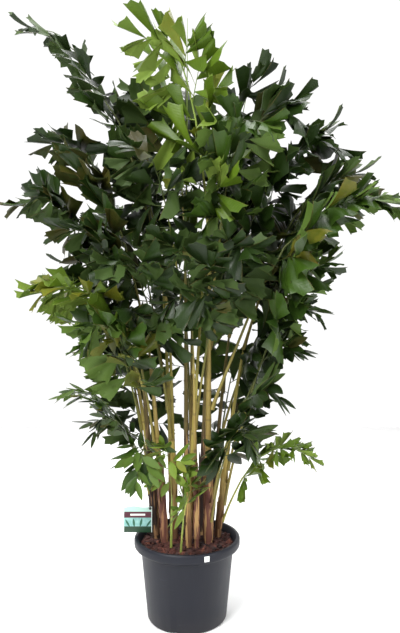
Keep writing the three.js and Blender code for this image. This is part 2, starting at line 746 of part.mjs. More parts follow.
const canes = new Map();
let substrate = makeSubstrate();
for (const [name, cane] of Object.entries(CANES)) {
  const curve = caneCurve(cane);
  const radiusAt = caneRadiusAt(cane);
  const cutter = stalk(curve, radiusAt, CANE.sides, caneRings(cane), CLEARANCE);
  canes.set(name, { curve, cutter });
  claim(pointsAlong(curve, radiusAt), name);
  substrate = substrate.subtract(cutter);
  add(name, geometryOf(stalk(curve, radiusAt, CANE.sides, caneRings(cane))), cane.slot);
}
add("substrate", geometryOf(substrate), "bark");

claim(pointsOverLabel(), "care_label");
add("care_label", makeLabel(), "card");
add("label_strap", geometryOf(makeStrap()), "strap");
add("rim_sticker", makeSticker(), "sticker");

// All the stalks find their way first, and the blades then fill the space that is left.
const TURNS = [0, 4, -4, 8, -8, 12, -12, 16, -16, 20, -20, 25, -25, 30, -30];
const grown = Object.entries(FRONDS).map(([name, frond], index) => {
  for (const degrees of TURNS) {
    const curve = frondCurve(frond, THREE.MathUtils.degToRad(degrees));
    const rachisShare = 1 - (PINNA.endShare * frond.size) / curve.getLength();
    const rachis = firstPart(curve, rachisShare);
    const path = pointsAlong(rachis, frondRadiusAt(frond));
    if (isFree(path, (owner) => owner === frond.cane)) {
      claim(path, name);
      const rings = Math.round(rachis.getLength() / STALK.ringSpacing);
      return { name, frond, rachis, rings, end: curve.v2, random: randomFrom(index + 1), blades: [] };
    }
  }
  return null;
}).filter(Boolean);

// Each frond grows one pinna in each round, so that none takes all the space.
const mostPinnae = Math.max(...grown.map((plan) => plan.frond.pinnae));
for (let index = 0; index < mostPinnae; index += 1) {
  for (const plan of grown) {
    const blade = index < plan.frond.pinnae && growNextPinna(plan, index);
    if (blade) plan.blades.push(blade);
  }
}

for (const { name, frond, rachis, rings, blades } of grown) {
  const bare = stalk(rachis, frondRadiusAt(frond), STALK.sides, rings);
  let solid = largestOf(bare.subtract(canes.get(frond.cane).cutter));
  for (const blade of blades) solid = solid.add(blade);
  add(name, geometryOf(solid), frond.slot);
}

export default palm;
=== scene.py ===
import json
import math
import random

import bpy
import numpy as np
from mathutils import Matrix, Vector


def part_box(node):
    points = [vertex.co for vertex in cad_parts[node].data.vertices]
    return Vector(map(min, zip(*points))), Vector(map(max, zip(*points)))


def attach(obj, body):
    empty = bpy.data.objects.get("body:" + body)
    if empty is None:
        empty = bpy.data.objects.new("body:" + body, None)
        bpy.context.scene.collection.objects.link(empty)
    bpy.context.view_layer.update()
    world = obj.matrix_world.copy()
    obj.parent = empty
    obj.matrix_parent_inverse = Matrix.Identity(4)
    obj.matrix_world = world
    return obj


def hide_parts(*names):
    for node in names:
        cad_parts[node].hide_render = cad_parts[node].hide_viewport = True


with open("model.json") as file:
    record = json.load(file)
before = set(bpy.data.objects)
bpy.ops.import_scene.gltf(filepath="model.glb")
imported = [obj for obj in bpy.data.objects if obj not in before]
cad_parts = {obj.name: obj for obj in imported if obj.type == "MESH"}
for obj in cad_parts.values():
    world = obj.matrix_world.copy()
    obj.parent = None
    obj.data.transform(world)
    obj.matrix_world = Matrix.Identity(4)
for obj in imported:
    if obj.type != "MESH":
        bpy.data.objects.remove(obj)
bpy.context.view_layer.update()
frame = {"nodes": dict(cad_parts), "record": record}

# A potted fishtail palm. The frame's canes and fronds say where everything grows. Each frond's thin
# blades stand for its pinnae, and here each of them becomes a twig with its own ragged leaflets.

NODES = frame["nodes"]
MM = 0.001

# ---------- Driving values ----------

BLADE_THICKNESS = 1.2 * MM
BLADE_LONG_CORNER = (1.0, 0.24)  # along and across the spray, as shares of its length
BLADE_SHORT_CORNER = (0.84, -0.27)

STALK_RINGS = 30
STALK_SIDES = 8
TWIG_RINGS = 4
TWIG_SIDES = 5
CANE_RINGS = 72
CANE_SIDES = 14
SHEATH_RINGS = 6
SHEATH_SIDES = 16
SHEATH_FOOT = 0.262
SHEATH_SPACING = 0.07

LEAF_COLUMNS = 6
LEAF_ROWS = 4
LEAF_THICKNESS = 0.005  # as a share of a leaflet's length

FLOOR_SIZE = 7
CAMERA_PLACE = (0.044, -1.93, 0.988)
CAMERA_LENS = 31.85
CAMERA_PITCH = 0.87  # degrees above the horizon

WELD_STEP = 0.01 * MM
ANGLE_TOLERANCE = 0.012  # between the cosines of two corners that are alike
FLATNESS = 0.03  # the largest cosine between a blade's edge and its normal
SHORTEST_SPAN = 12 * MM  # of a blade's far edge
CLUSTER_REACH = 9.5 * MM
FIT_ROUNDS = 12
TWIG_SHARE = 0.48  # how much of a blade's length its twig takes up

CHIP_COUNT = 620
CHIP_SIZE = (9 * MM, 24 * MM)

bpy.ops.object.select_all(action="DESELECT")


def srgb(red, green, blue):
    """A colour given as it looks on a screen, from 0 to 255, as a linear one."""
    shares = [value / 255 for value in (red, green, blue)]
    linear = [s / 12.92 if s <= 0.04045 else ((s + 0.055) / 1.055) ** 2.4 for s in shares]
    return (*linear, 1.0)


# ---------- Camera, light and floor ----------

def make_camera():
    data = bpy.data.cameras.new("camera")
    data.lens = CAMERA_LENS
    data.sensor_width = 36
    camera = bpy.data.objects.new("camera", data)
    camera.location = CAMERA_PLACE
    camera.rotation_euler = (math.radians(90 + CAMERA_PITCH), 0, 0)
    bpy.context.collection.objects.link(camera)
    bpy.context.scene.camera = camera


def add_softbox(name, place, target, size, watts):
    data = bpy.data.lights.new(name, "AREA")
    data.shape = "RECTANGLE"
    data.size, data.size_y = size
    data.energy = watts
    light = bpy.data.objects.new(name, data)
    light.location = place
    heading = Vector(target) - Vector(place)
    light.rotation_euler = heading.to_track_quat("-Z", "Y").to_euler()
    bpy.context.collection.objects.link(light)


def make_studio():
    add_softbox("key_light", (-1.6, -2.6, 3.0), (0, 0, 1.1), (1.6, 2.2), 190)
    add_softbox("fill_light", (2.4, -2.0, 1.9), (0, 0, 1.0), (1.4, 2.4), 60)
    add_softbox("top_light", (0.2, 0.5, 3.6), (0, 0, 1.0), (2.2, 2.2), 90)
    add_softbox("back_light", (-1.2, 2.6, 2.2), (0, 0, 1.2), (1.6, 2.0), 35)
    world = bpy.data.worlds.new("studio")
    world.use_nodes = True
    nodes, links = world.node_tree.nodes, world.node_tree.links
    heading = nodes.new("ShaderNodeTexCoord")
    parts = nodes.new("ShaderNodeSeparateXYZ")
    glow = nodes.new("ShaderNodeMapRange")
    glow.inputs["From Min"].default_value = -0.2
    glow.inputs["From Max"].default_value = 0.45
    glow.inputs["To Min"].default_value = 0.42
    glow.inputs["To Max"].default_value = 1.05
    links.new(heading.outputs["Generated"], parts.inputs[0])
    links.new(parts.outputs["Y"], glow.inputs["Value"])
    links.new(glow.outputs[0], nodes["Background"].inputs["Strength"])
    nodes["Background"].inputs["Color"].default_value = (1, 1, 1, 1)
    bpy.context.scene.world = world
    bpy.context.scene.view_settings.view_transform = "Standard"


# ---------- Shader expressions ----------

class Wire:
    """A shader socket that can stand in a sum. It makes the Math nodes that the sum needs."""

    def __init__(self, shader, socket):
        self.shader = shader
        self.socket = socket

    def math(self, operation, *values):
        values = dict(enumerate(values))
        return self.shader.node("ShaderNodeMath", {"operation": operation}, values)

    def __add__(self, other):
        return self.math("ADD", self, other)

    def __sub__(self, other):
        return self.math("SUBTRACT", self, other)

    def __rsub__(self, other):
        return self.math("SUBTRACT", other, self)

    def __mul__(self, other):
        return self.math("MULTIPLY", self, other)

    def __pow__(self, other):
        return self.math("POWER", self, other)

    def __abs__(self):
        return self.math("ABSOLUTE", self)

    __radd__ = __add__
    __rmul__ = __mul__

    def sine(self):
        return self.math("SINE", self)

    def clamped(self):
        return self.math("MAXIMUM", self.math("MINIMUM", self, 1.0), 0.0)

    def above(self, edge, softness):
        """0 below an edge and 1 above it, with a soft step between them."""
        return ((self - edge) * (1 / softness) + 0.5).clamped()

    def between(self, low, high, softness):
        return self.above(low, softness) * (1 - self.above(high, softness))

    def part(self, name):
        """One of the numbers of a vector."""
        return self.shader.node("ShaderNodeSeparateXYZ", {}, {0: self}, name)


class Shader:
    """A material's node tree, with its Principled surface."""

    def __init__(self, name):
        self.material = bpy.data.materials.new(name)
        self.material.use_nodes = True
        self.tree = self.material.node_tree
        self.surface = self.tree.nodes["Principled BSDF"]

    def node(self, kind, settings=None, inputs=None, output=0):
        """Adds a node, makes its settings, then fills or links its sockets, and returns one output."""
        node = self.tree.nodes.new(kind)
        for name, value in (settings or {}).items():
            setattr(node, name, value)
        for name, value in (inputs or {}).items():
            self.feed(node.inputs[name], value)
        return Wire(self, node.outputs[output])

    def feed(self, socket, value):
        if isinstance(value, Wire):
            self.tree.links.new(value.socket, socket)
        else:
            socket.default_value = value

    def set(self, **values):
        """Feeds the surface's sockets, named with underscores for spaces."""
        for name, value in values.items():
            self.feed(self.surface.inputs[name.replace("_", " ")], value)

    def place(self):
        return self.node("ShaderNodeTexCoord", {}, {}, "Object")

    def uv(self):
        return self.node("ShaderNodeUVMap", {"uv_map": "UVMap"})

    def stretched(self, vector, scale, offset=(0, 0, 0)):
        return self.node("ShaderNodeMapping", {}, {"Vector": vector, "Scale": scale, "Location": offset})

    def noise(self, vector, scale, detail=4.0, roughness=0.55):
        sockets = {"Vector": vector, "Scale": scale, "Detail": detail, "Roughness": roughness}
        return self.node("ShaderNodeTexNoise", {}, sockets)

    def cell_shades(self, vector, scale):
        """A colour for each of the cells that a surface is divided into."""
        return self.node("ShaderNodeTexVoronoi", {}, {"Vector": vector, "Scale": scale}, "Color")

    def mix(self, share, first, second):
        """A colour between two colours."""
        return self.node("ShaderNodeMix", {"data_type": "RGBA"}, {0: share, 6: first, 7: second}, 2)

    def shaded(self, colour, amount):
        """A colour times a grey amount."""
        settings = {"data_type": "RGBA", "blend_type": "MULTIPLY"}
        grey = self.node("ShaderNodeCombineColor", {}, {0: amount, 1: amount, 2: amount})
        return self.node("ShaderNodeMix", settings, {0: 1.0, 6: colour, 7: grey}, 2)

    def bump(self, height, distance, strength=1.0):
        sockets = {"Height": height, "Distance": distance, "Strength": strength}
        self.set(Normal=self.node("ShaderNodeBump", {}, sockets))


# ---------- Materials ----------

def leaf_material(name, deep, fresh, underside, aged, gloss):
    """A leaflet's skin: fanned ribs, paler below, with each leaflet's own tint and age."""
    shader = Shader(name)
    uv = shader.uv()
    across, along = uv.part("X"), uv.part("Y")
    marks = shader.node("ShaderNodeAttribute", {"attribute_name": "leaf"}, {}, "Color")
    tint = marks.part("X")
    below = marks.part("Y")
    age = marks.part("Z")
    place = shader.place()
    mottle = shader.noise(place, 38, 5)
    ribs = abs((across * (math.pi * 13)).sine()) ** 0.35
    colour = shader.mix((tint * 0.75 + mottle * 0.5 - 0.12).clamped(), deep, fresh)
    colour = shader.mix((1 - ribs) * 0.35, colour, fresh)
    colour = shader.mix(below * 0.75, colour, underside)
    yellowing = (age + (mottle - 0.5) * 1.2 + along * 0.25).clamped() * age.above(0.02, 0.02)
    colour = shader.mix(yellowing, colour, aged)
    dry_edge = (along + (shader.noise(place, 160, 3) - 0.5) * 0.12).above(0.985, 0.03)
    colour = shader.mix(dry_edge * 0.55, colour, srgb(96, 78, 40))
    shader.set(Base_Color=colour)
    shader.set(Roughness=(gloss + (mottle - 0.5) * 0.25 + below * 0.22).clamped())
    shader.surface.inputs["Specular IOR Level"].default_value = 0.28
    shader.bump(ribs + shader.noise(place, 420, 2) * 0.25, 0.45 * MM, 0.6)
    return shader.material


def stalk_material(name, base, middle, end):
    """A petiole and its twigs, from the tan of the sheath to the green of the tip."""
    shader = Shader(name)
    uv = shader.uv()
    along = uv.part("Y")
    place = shader.place()
    streaks = shader.noise(shader.stretched(place, (260, 260, 9)), 1.0, 3)
    blotches = shader.noise(place, 26, 4)
    colour = shader.mix((along * 1.7 + (blotches - 0.5) * 0.7).clamped(), base, middle)
    colour = shader.mix((along * 1.5 - 0.45 + (blotches - 0.5) * 0.3).clamped(), colour, end)
    colour = shader.shaded(colour, 0.78 + streaks * 0.42)
    specks = shader.noise(place, 210, 2).above(0.68, 0.06)
    colour = shader.mix(specks * 0.5, colour, srgb(88, 66, 38))
    shader.set(Base_Color=colour, Roughness=0.42 + streaks * 0.22)
    shader.bump(streaks, 0.5 * MM, 0.5)
    return shader.material


def cane_material(name, foot, middle, top, brown_height):
    """A cane's skin, with papery brown sheaths below and a smooth ringed stem above."""
    shader = Shader(name)
    place = shader.place()
    height = place.part("Z")
    ring = shader.uv().part("Y")
    fibres = shader.noise(shader.stretched(place, (330, 330, 7)), 1.0, 5, 0.65)
    strips = shader.noise(shader.stretched(place, (95, 95, 5)), 1.0, 3)
    patches = shader.noise(shader.stretched(place, (22, 22, 9)), 1.0, 4)
    lower = 1 - (height + (patches - 0.5) * 0.22).above(brown_height, 0.16)
    stem = shader.mix((height * 1.1 - 0.35 + (patches - 0.5) * 0.7).clamped(), middle, top)
    torn = strips.above(0.56, 0.05)
    strip = shader.mix(patches.above(0.5, 0.2), srgb(176, 138, 92), srgb(142, 92, 74))
    sheath = shader.mix(torn, foot, strip)
    colour = shader.mix(lower * (1 - torn * 0.35), stem, sheath)
    scar = (1 - (abs(ring - 0.5) * 2).above(0.07, 0.08)) * (1 - height.above(0.75, 0.3) * 0.6)
    colour = shader.mix(scar * 0.5, colour, srgb(84, 62, 38))
    colour = shader.shaded(colour, 0.6 + fibres * 0.8)
    shader.set(Base_Color=colour, Roughness=0.5 + lower * 0.3 + (fibres - 0.5) * 0.2)
    shader.bump(fibres * (0.35 + lower) + strips * lower * 0.6, 1.4 * MM, 0.7)
    return shader.material


def pot_material():
    """Matte moulded plastic, with faint draw marks, dust and pale scuffs."""
    shader = Shader("pot_plastic")
    place = shader.place()
    grain = shader.noise(place, 900, 2)
    draw = shader.noise(shader.stretched(place, (55, 55, 2.2)), 1.0, 4)
    dust = shader.noise(place, 14, 5, 0.6)
    low = 1 - place.part("Z").above(0.03, 0.06)
    colour = shader.mix(dust * 0.55, srgb(16, 18, 27), srgb(30, 33, 44))
    scuffs = shader.noise(shader.stretched(place, (18, 18, 120)), 1.0, 3).above(0.7, 0.05)
    colour = shader.mix(scuffs * 0.22, colour, srgb(54, 55, 64))
    colour = shader.mix(low * dust * 0.4, colour, srgb(58, 52, 48))
    shader.set(Base_Color=colour, Roughness=0.36 + draw * 0.14 + dust * 0.12)
    shader.surface.inputs["Specular IOR Level"].default_value = 0.3
    shader.bump(grain * 0.5 + draw * 0.8, 0.25 * MM, 0.6)
    return shader.material


def bark_material(name):
    """Reddish-brown bark, each chip with its own shade."""
    shader = Shader(name)
    place = shader.place()
    chip = shader.cell_shades(place, 55).part("X")
    grain = shader.noise(shader.stretched(place, (120, 260, 190)), 1.0, 5, 0.65)
    colour = shader.mix((chip * 0.9 + (grain - 0.5) * 0.9).clamped(), srgb(30, 12, 10), srgb(88, 42, 32))
    pale = (chip * 0.5 + grain).above(1.0, 0.1)
    colour = shader.mix(pale * 0.6, colour, srgb(126, 78, 60))
    shader.set(Base_Color=colour, Roughness=0.78 + (grain - 0.5) * 0.3)
    shader.bump(grain, 1.6 * MM, 0.9)
    return shader.material


def card_material():
    """A printed care card: plain bands of colour round a picture panel of simple leaves."""
    low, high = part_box("care_label")
    shader = Shader("card_print")
    place = shader.place()
    across = (place.part("X") - low.x) * (1 / (high.x - low.x))
    up = (place.part("Z") - low.z) * (1 / (high.z - low.z))
    fronts = 1 - place.part("Y").above(low.y + 0.3 * MM, 0.1 * MM)
    fan = shader.noise(shader.stretched(place, (60, 1, 60)), 1.0, 1)
    panel = shader.mix(fan, srgb(70, 142, 138), srgb(172, 214, 208))
    for stem_across, stem_up, lean, size in (
        (0.22, 0.20, 0.5, 0.30), (0.38, 0.20, 0.1, 0.34), (0.58, 0.20, -0.2, 0.36), (0.80, 0.20, -0.6, 0.28),
    ):
        side = across - stem_across + (up - stem_up) * lean
        rise = (up - stem_up) * (1 / size)
        width = (rise * (1 - rise)) * 0.17
        leaf = (width - abs(side)).above(0.0, 0.012) * rise.above(0.02, 0.02)
        panel = shader.mix(leaf, panel, srgb(24, 92, 66))
    colour = shader.mix(up.above(0.23, 0.01), srgb(30, 62, 40), panel)
    colour = shader.mix(up.above(0.56, 0.01), colour, srgb(74, 16, 36))
    bar = up.between(0.64, 0.71, 0.01) * across.between(0.24, 0.76, 0.01)
    colour = shader.mix(bar, colour, srgb(244, 240, 236))
    colour = shader.mix(up.above(0.79, 0.01), colour, srgb(176, 212, 202))
    border = (abs(across - 0.5) * 2).above(0.955, 0.01)
    colour = shader.mix(border, colour, srgb(226, 236, 230))
    colour = shader.mix(fronts, srgb(236, 238, 234), colour)
    shader.set(Base_Color=colour, Roughness=0.34 + shader.noise(place, 300, 2) * 0.12)
    shader.bump(shader.noise(place, 700, 2), 0.05 * MM, 0.4)
    return shader.material


def plain_material(name, colour, roughness, grain_scale, depth):
    """A small trim piece's finish, with its grain."""
    shader = Shader(name)
    grain = shader.noise(shader.place(), grain_scale, 3)
    shader.set(Base_Color=shader.shaded(colour, 0.86 + grain * 0.28))
    shader.set(Roughness=roughness + (grain - 0.5) * 0.2)
    shader.bump(grain, depth, 0.5)
    return shader.material


# ---------- Making and finishing pieces ----------

def new_object():
    """The object that the last operator added."""
    return bpy.context.active_object


def apply_modifier(piece, kind, **settings):
    bpy.context.view_layer.objects.active = piece
    modifier = piece.modifiers.new(kind.lower(), kind)
    for name, value in settings.items():
        setattr(modifier, name, value)
    bpy.ops.object.modifier_apply(modifier=modifier.name)


def settle(piece):
    """Puts a piece's place into its mesh."""
    bpy.ops.object.select_all(action="DESELECT")
    piece.select_set(True)
    bpy.context.view_layer.objects.active = piece
    bpy.ops.object.transform_apply(location=True, rotation=True, scale=True)
    piece.select_set(False)


def smooth(piece, degrees=40):
    bpy.ops.object.select_all(action="DESELECT")
    piece.select_set(True)
    bpy.context.view_layer.objects.active = piece
    bpy.ops.object.shade_smooth_by_angle(angle=math.radians(degrees))
    piece.select_set(False)


def stand_in(piece, slot, *nodes):
    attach(piece, "root")
    if nodes:
        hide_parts(*nodes)


def make_tube(name, sides, rings):
    """A closed tube along Z from 0 to 1 with a radius of 1, whose rings are evenly spaced."""
    bpy.ops.mesh.primitive_circle_add(vertices=sides, radius=1, fill_type="NGON", calc_uvs=True)
    tube = new_object()
    tube.name = name
    bpy.ops.object.mode_set(mode="EDIT")
    for _ in range(rings - 1):
        step = {"value": (0, 0, 1 / (rings - 1))}
        bpy.ops.mesh.extrude_region_move(TRANSFORM_OT_translate=step)
    bpy.ops.mesh.select_all(action="SELECT")
    bpy.ops.mesh.normals_make_consistent(inside=False)
    bpy.ops.object.mode_set(mode="OBJECT")
    return take_template(tube)


class Template:
    """A shape that is copied many times: its corners, faces and each face corner's UV place."""

    def __init__(self, points, faces, uvs, below):
        self.points = points
        self.faces = faces
        self.uvs = uvs
        self.below = below


def take_template(piece):
    """Reads a modelled shape and removes it from the scene."""
    mesh = piece.data
    points = np.array([vertex.co for vertex in mesh.vertices])
    faces = [list(face.vertices) for face in mesh.polygons]
    layer = mesh.uv_layers.active
    uvs = np.array([list(layer.data[i].uv) for i in range(len(mesh.loops))])
    below = np.concatenate([[float(face.normal.z < 0)] * len(face.vertices) for face in mesh.polygons])
    bpy.data.objects.remove(piece)
    return Template(points, faces, uvs, below)


class Growth:
    """Gathers copies of templates and makes one mesh of them."""

    def __init__(self):
        self.points = []
        self.faces = []
        self.uvs = []
        self.marks = []
        self.slots = []
        self.count = 0

    def add(self, template, points, slot, uvs=None, tint=0.0, age=0.0):
        self.points.append(points)
        self.faces += [[i + self.count for i in face] for face in template.faces]
        self.count += len(points)
        self.uvs.append(template.uvs if uvs is None else uvs)
        marks = np.ones((len(template.uvs), 4))
        marks[:, 0] = tint
        marks[:, 1] = template.below
        marks[:, 2] = age
        self.marks.append(marks)
        self.slots += [slot] * len(template.faces)

    def finish(self, name, materials, angle=50):
        mesh = bpy.data.meshes.new(name)
        mesh.from_pydata(np.concatenate(self.points).tolist(), [], self.faces)
        layer = mesh.uv_layers.new(name="UVMap")
        layer.data.foreach_set("uv", np.concatenate(self.uvs).ravel())
        marks = mesh.color_attributes.new("leaf", "FLOAT_COLOR", "CORNER")
        marks.data.foreach_set("color", np.concatenate(self.marks).ravel())
        for material in materials:
            mesh.materials.append(material)
        mesh.polygons.foreach_set("material_index", self.slots)
        piece = bpy.data.objects.new(name, mesh)
        bpy.context.collection.objects.link(piece)
        smooth(piece, angle)
        return piece


def unit(vector):
    return vector / max(np.linalg.norm(vector), 1e-12)


def smooth_path(stops, count):
    """Evenly spaced points on a smooth curve through the stops (Catmull-Rom)."""
    stops = np.asarray(stops)
    ends = np.vstack([2 * stops[0] - stops[1], stops, 2 * stops[-1] - stops[-2]])
    fine = []
    for i in range(len(stops) - 1):
        a, b, c, d = ends[i:i + 4]
        for t in np.arange(0, 1, 0.1):
            fine.append(
                0.5 * (2 * b + (c - a) * t + (2 * a - 5 * b + 4 * c - d) * t ** 2
                       + (3 * b - a - 3 * c + d) * t ** 3)
            )
    fine.append(stops[-1])
    fine = np.array(fine)
    lengths = np.concatenate([[0], np.cumsum(np.linalg.norm(np.diff(fine, axis=0), axis=1))])
    even = np.linspace(0, lengths[-1], count)
    return np.stack([np.interp(even, lengths, fine[:, k]) for k in range(3)], axis=1)


def along_path(template, path, radii):
    """Bends a tube template round a path, with one ring at each of the path's points."""
    tangents = np.gradient(path, axis=0)
    side = unit(np.cross(tangents[0], (0.3, 1.0, 0.2)))
    rings = np.rint(template.points[:, 2] * (len(path) - 1)).astype(int)
    points = np.empty_like(template.points)
    for ring in range(len(path)):
        tangent = unit(tangents[ring])
        side = unit(side - tangent * (side @ tangent))
        other = np.cross(tangent, side)
        here = rings == ring
        flat = template.points[here, :2] * radii[ring]
        points[here] = path[ring] + flat[:, :1] * side + flat[:, 1:] * other
    return points


def tube_uvs(template):
    """UVs round a tube, with V from 0 at its foot to 1 at its end."""
    corners = np.array([i for face in template.faces for i in face])
    spots = template.points[corners]
    turn = np.arctan2(spots[:, 1], spots[:, 0]) / math.tau
    return np.stack([turn, spots[:, 2]], axis=1)


# ---------- Reading the frame ----------

def welded(node):
    """A CAD node's vertices with doubles merged, and its triangles."""
    mesh = NODES[node].data
    points = np.array([vertex.co for vertex in mesh.vertices])
    keys = np.rint(points / WELD_STEP).astype(np.int64)
    _, first, back = np.unique(keys, axis=0, return_index=True, return_inverse=True)
    back = back.ravel()
    mesh.calc_loop_triangles()
    triangles = {tuple(sorted(back[list(t.vertices)])) for t in mesh.loop_triangles}
    return points[first], [t for t in triangles if len(set(t)) == 3]


class Blade:
    """One of the frame's thin triangular blades: its root, the line of its spray and its length."""

    root_long = math.hypot(*BLADE_LONG_CORNER)
    root_short = math.hypot(*BLADE_SHORT_CORNER)
    long_short = math.dist(BLADE_LONG_CORNER, BLADE_SHORT_CORNER)

    def __init__(self, long_corner, short_corner, root, normal):
        self.root = root
        self.length = np.linalg.norm(long_corner - root) / self.root_long
        to_long = (long_corner - root) / self.length
        to_short = (short_corner - root) / self.length
        (a, b), (c, d) = BLADE_LONG_CORNER, BLADE_SHORT_CORNER
        self.axis = unit((to_long * d - to_short * b) / (a * d - b * c))
        across = unit((to_short * a - to_long * c) / (a * d - b * c))
        self.normal = normal if normal[2] > 0 else -normal
        self.across = across

    def holds(self, points):
        """Which points lie on this blade, away from its root."""
        away = points - self.root
        flat = np.abs(away @ self.normal) < 0.8 * BLADE_THICKNESS
        along = away @ self.axis / self.length
        aside = away @ self.across / self.length
        return flat & (along > 0.09) & (along < 1.03) & (np.abs(aside) < 0.05 + 0.33 * along)


def corner_angle(near, far, opposite):
    """The cosine of a triangle's corner, from its two sides there and the opposite side."""
    return (near ** 2 + far ** 2 - opposite ** 2) / (2 * near * far)


def find_blades(points, triangles):
    """Every blade of a frond. A blade's far edge is a thin rectangle between two short edges."""
    edges = {tuple(sorted(pair)) for a, b, c in triangles for pair in ((a, b), (b, c), (c, a))}
    near = {}
    for a, b in edges:
        near.setdefault(a, []).append(b)
        near.setdefault(b, []).append(a)
    length = {edge: np.linalg.norm(points[edge[0]] - points[edge[1]]) for edge in edges}
    posts = sorted(edge for edge in edges if abs(length[edge] - BLADE_THICKNESS) < 0.02 * MM)
    long_cosine = corner_angle(Blade.root_long, Blade.long_short, Blade.root_short)
    short_cosine = corner_angle(Blade.root_short, Blade.long_short, Blade.root_long)

    def margin(corner, skip, toward, across_cosine, normal):
        """The direction of the margin that leaves a corner at the blade's own angle."""
        for other in near[corner]:
            step = unit(points[other] - points[corner])
            fits = abs(step @ toward - across_cosine) < ANGLE_TOLERANCE and abs(step @ normal) < FLATNESS
            if other not in skip and fits:
                return step
        return None

    blades = []
    for i, post in enumerate(posts):
        for partner in posts[i + 1:]:
            for other in (partner, partner[::-1]):
                if other[0] not in near[post[0]] or other[1] not in near[post[1]]:
                    continue
                span = points[other[0]] - points[post[0]]
                normal = unit(points[post[1]] - points[post[0]])
                if np.linalg.norm(span) < SHORTEST_SPAN or abs(unit(span) @ normal) > FLATNESS:
                    continue
                for far, close in ((post, other), (other, post)):
                    toward = unit(points[close[0]] - points[far[0]])
                    to_root = margin(far[0], (far[1], close[0]), toward, long_cosine, normal)
                    back = margin(close[0], (close[1], far[0]), -toward, short_cosine, normal)
                    if to_root is None or back is None:
                        continue
                    aside = unit(to_root - toward * (to_root @ toward))
                    exact = toward * long_cosine + aside * math.sqrt(1 - long_cosine ** 2)
                    corner = (points[far[0]] + points[far[1]]) / 2
                    reach = np.linalg.norm(span) * Blade.root_long / Blade.long_short
                    short = (points[close[0]] + points[close[1]]) / 2
                    blades.append(Blade(corner, short, corner + exact * reach, normal))
                    break
    return blades


def clusters(points, reach):
    """Groups of points that are linked by steps shorter than a reach."""
    left = list(range(len(points)))
    groups = []
    while left:
        group = [left.pop()]
        for member in group:
            close = [k for k in left if np.linalg.norm(points[k] - points[member]) < reach]
            group += close
            left = [k for k in left if k not in close]
        groups.append(points[group])
    return groups


def is_ring(group):
    spread = np.linalg.norm(group - group.mean(0), axis=1)
    return 4 <= len(group) <= 6 and spread.std() < 0.09 * spread.mean()


def find_stalk(points, blades):
    """A frond's centre line and the radius at its foot, from its clean rings and its blades' roots."""
    on_blade = np.zeros(len(points), bool)
    for blade in blades:
        on_blade |= blade.holds(points)
    groups = clusters(points[~on_blade], CLUSTER_REACH)
    foot = min(groups, key=lambda group: group[:, 2].min()).mean(0)
    rings = [group for group in groups if is_ring(group)]
    stops = [group.mean(0) for group in rings] + [blade.root for blade in blades]
    if blades:
        end = max((blade.root for blade in blades), key=lambda root: np.linalg.norm(root - foot))
    else:
        end = max(groups, key=lambda group: group[:, 2].max()).mean(0)
    stops = np.array([stop for stop in stops if np.linalg.norm(stop - foot) > 20 * MM] + [end])
    from_foot = np.linalg.norm(stops - foot, axis=1)
    share = from_foot / (from_foot + np.linalg.norm(stops - end, axis=1))
    weights = np.ones(len(stops))
    steps = np.linspace(0, 1, 301)[:, None]
    for _ in range(FIT_ROUNDS):
        pull = 2 * share * (1 - share) * weights
        rest = stops - ((1 - share) ** 2)[:, None] * foot - (share ** 2)[:, None] * end
        bend = (rest * (pull * weights)[:, None]).sum(0) / (pull ** 2).sum()
        curve = (1 - steps) ** 2 * foot + 2 * steps * (1 - steps) * bend + steps ** 2 * end
        away = np.linalg.norm(stops[:, None] - curve[None], axis=2)
        share = steps[away.argmin(1), 0]
        weights = 1 / (1 + (away.min(1) / (6 * MM)) ** 2)
    kept = (away.min(1) < 16 * MM) & (share < 0.995) & (share > 0.02)
    order = np.argsort(share[kept])
    line = [foot]
    for stop in list(stops[kept][order]) + [end]:
        if np.linalg.norm(stop - line[-1]) > 14 * MM:
            line.append(stop)
    sizes = [np.linalg.norm(group - group.mean(0), axis=1).mean() for group in rings]
    radius = max(sizes) if sizes else 3.2 * MM
    return line, radius


# ---------- Leaflets ----------

def make_leaflet(name, seed, lean, fold, droop, width):
    """A wedge of a leaflet, 1 long on +X: ribs fan out from its foot to a ragged, slanting end."""
    draw = random.Random(seed)
    bpy.ops.mesh.primitive_grid_add(x_subdivisions=LEAF_ROWS, y_subdivisions=LEAF_COLUMNS, size=1)
    leaf = new_object()
    leaf.name = name
    depths = [(0.0, 0.04), (-0.10, -0.04)]  # a tooth and a notch, by turns
    teeth = [draw.uniform(*depths[k % 2]) for k in range(LEAF_COLUMNS + 1)]
    peak = draw.uniform(0.62, 0.86)
    wave = draw.uniform(0, math.tau)
    for vertex in leaf.data.vertices:
        row = vertex.co.x + 0.5
        column = vertex.co.y + 0.5
        along = row ** 0.85
        reach = 0.97 - 0.62 * lean * (column - peak) ** 2 + teeth[round(column * LEAF_COLUMNS)] * along
        spread = (column - 0.42) * width * (0.04 + 1.3 * along - 0.34 * along ** 3)
        hook = 0.12 * lean * along ** 2 * (column - 0.5)
        rise = -abs(column - 0.45) * fold * along
        rise -= droop * along ** 2
        rise += 0.05 * math.sin(wave + 6.0 * column + 3.0 * along) * along
        vertex.co = (along * (reach - abs(hook)), spread + hook, rise)
    apply_modifier(leaf, "SOLIDIFY", thickness=LEAF_THICKNESS, offset=0)
    return take_template(leaf)


